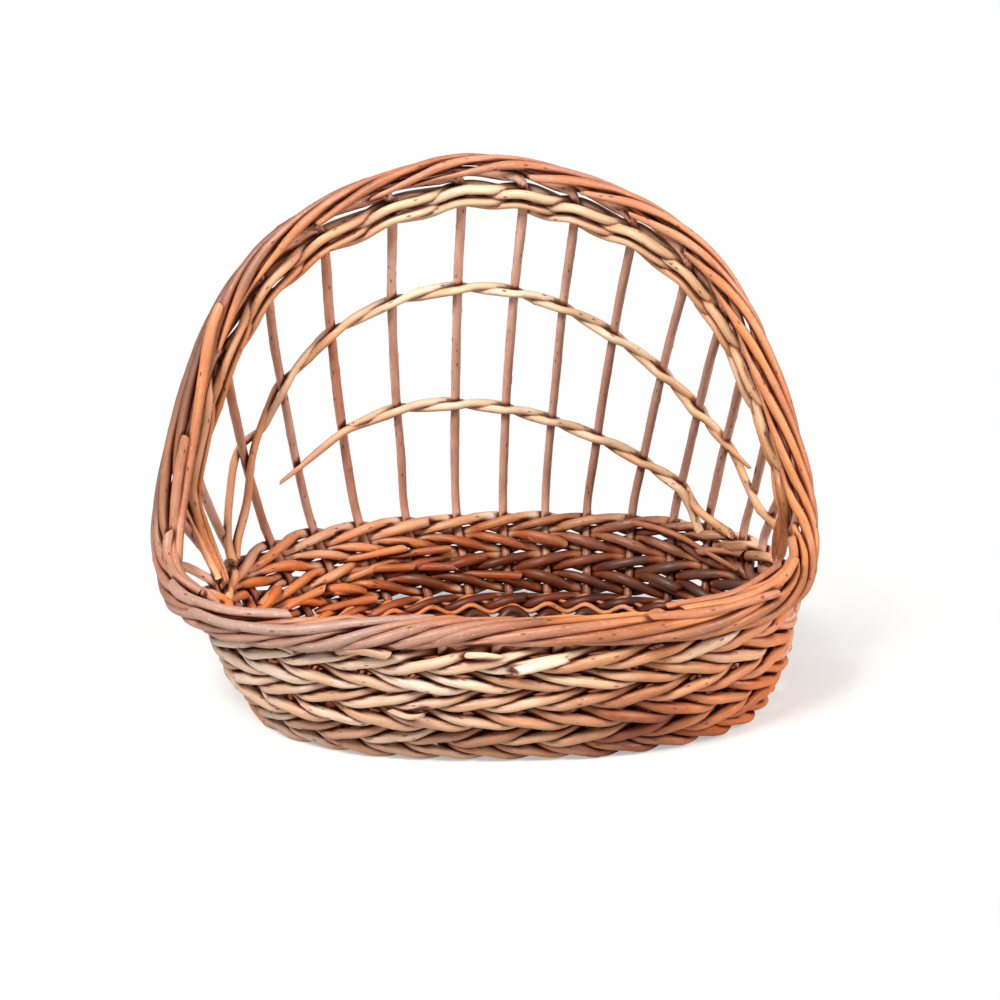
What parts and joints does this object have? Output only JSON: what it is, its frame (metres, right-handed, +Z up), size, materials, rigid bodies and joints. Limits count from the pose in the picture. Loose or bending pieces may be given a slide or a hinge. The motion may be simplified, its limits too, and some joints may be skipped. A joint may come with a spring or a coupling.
{
  "type": "mushroom foraging basket",
  "caption": "Oval woven willow basket with a low side and a tall open hood over its back half, edged by a rope border.",
  "frame": {"origin": "on the flat underside of the base, near its middle, below the middle of the top of the side", "axes": "+X to the right along the basket's length, +Y to the back where the hood stands, +Z up"},
  "size_m": [0.3766, 0.2689, 0.3115],
  "materials": {
    "stake_willow": "satin willow rod",
    "pale_willow": "satin willow rod",
    "side_willow": "satin willow rod",
    "base_willow": "satin willow rod"
  },
  "bodies": {
    "root": {"base_weave": "base_willow", "cross_stick_1": "base_willow", "cross_stick_2": "base_willow", "cross_stick_3": "base_willow", "cross_stick_4": "base_willow", "long_stick_1": "base_willow", "long_stick_2": "base_willow", "side_row_1": "side_willow", "side_row_2": "side_willow", "side_row_3": "side_willow", "side_row_4": "side_willow", "side_row_5": "side_willow", "side_row_6": "side_willow", "stake_01": "stake_willow", "stake_02": "stake_willow", "stake_03": "stake_willow", "stake_04": "stake_willow", "stake_05": "stake_willow", "stake_06": "stake_willow", "stake_07": "stake_willow", "stake_08": "stake_willow", "stake_09": "stake_willow", "stake_10": "stake_willow", "stake_11": "stake_willow", "stake_12": "stake_willow", "stake_13": "stake_willow", "stake_14": "stake_willow", "stake_15": "stake_willow", "stake_16": "stake_willow", "stake_17": "stake_willow", "stake_18": "stake_willow", "stake_19": "stake_willow", "stake_20": "stake_willow", "stake_21": "stake_willow", "stake_22": "stake_willow", "stake_23": "stake_willow", "stake_24": "stake_willow", "stake_25": "stake_willow", "stake_26": "stake_willow", "stake_27": "stake_willow", "stake_28": "stake_willow", "stake_29": "stake_willow", "stake_30": "stake_willow", "stake_31": "stake_willow", "stake_32": "stake_willow", "hood_row_1_rod_1": "pale_willow", "hood_row_1_rod_2": "pale_willow", "hood_row_2_rod_1": "pale_willow", "hood_row_2_rod_2": "pale_willow", "upper_fitch_rod_1": "pale_willow", "upper_fitch_rod_2": "pale_willow", "lower_fitch_rod_1": "pale_willow", "lower_fitch_rod_2": "pale_willow"}
  },
  "joints": []
}
